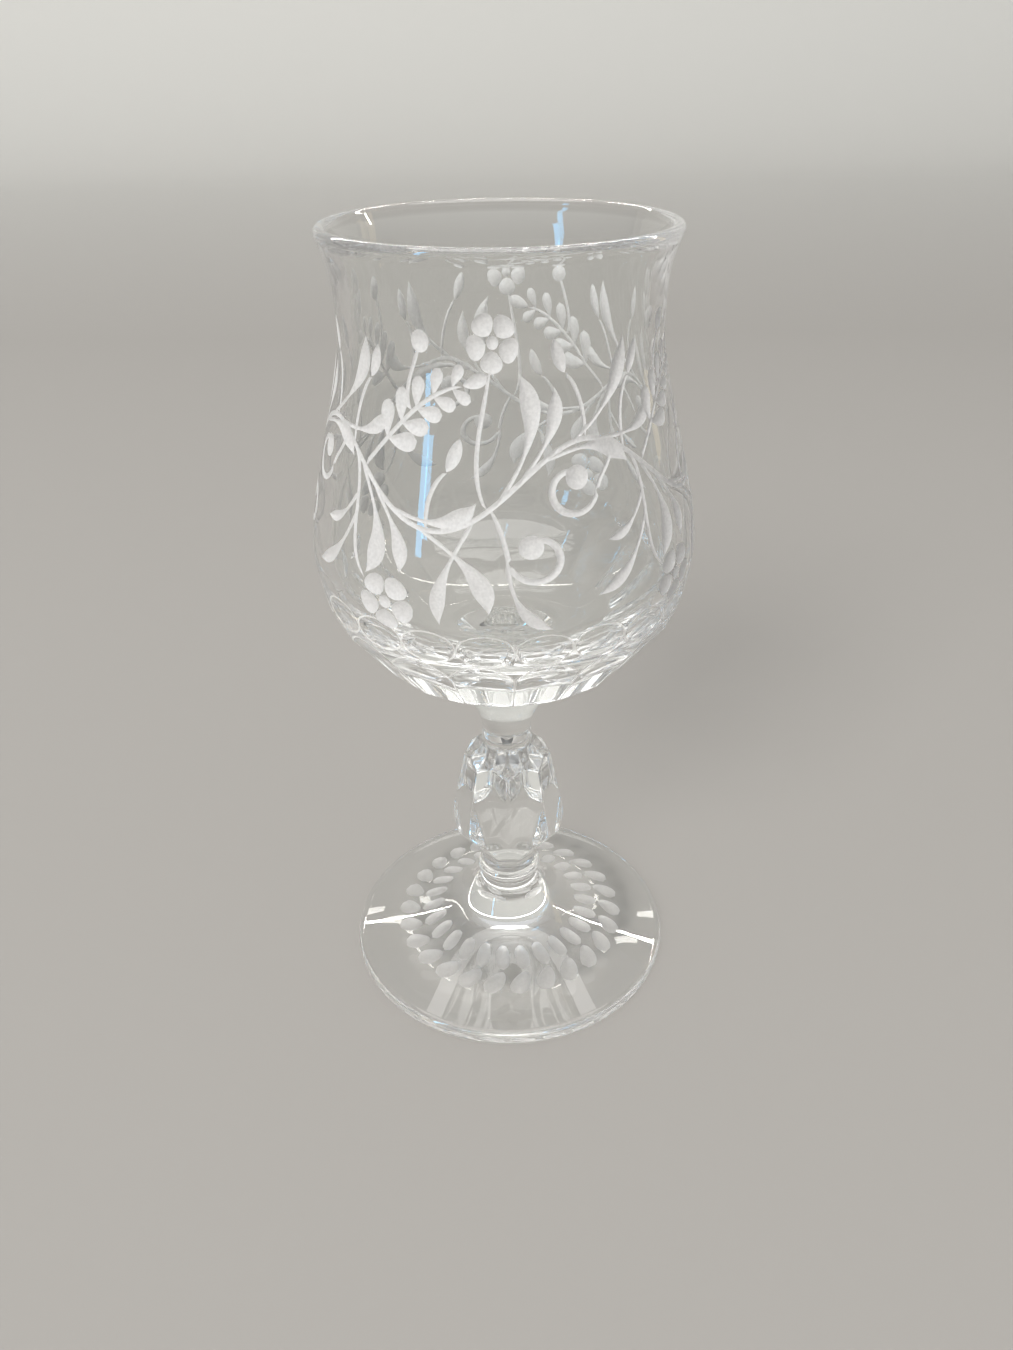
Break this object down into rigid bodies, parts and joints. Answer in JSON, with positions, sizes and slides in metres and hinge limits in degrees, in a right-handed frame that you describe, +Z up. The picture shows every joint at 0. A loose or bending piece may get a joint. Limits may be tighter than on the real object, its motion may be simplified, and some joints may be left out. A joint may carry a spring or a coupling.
{
  "type": "sherry glass",
  "caption": "Clear cut-crystal stem glass for sherry: tulip bowl with flared lip and cut base, faceted knop stem, small merese and round trumpet foot",
  "frame": {"origin": "on the table, under the middle of the foot", "axes": "+Z up along the axis of the glass, -Y towards the front of the picture, +X to its right"},
  "size_m": [0.0584, 0.0584, 0.128],
  "materials": {
    "clear_glass": "polished clear crystal, with frosted wheel engraving"
  },
  "bodies": {
    "root": {"bowl": "clear_glass", "stem": "clear_glass", "merese": "clear_glass", "foot": "clear_glass"}
  },
  "joints": []
}
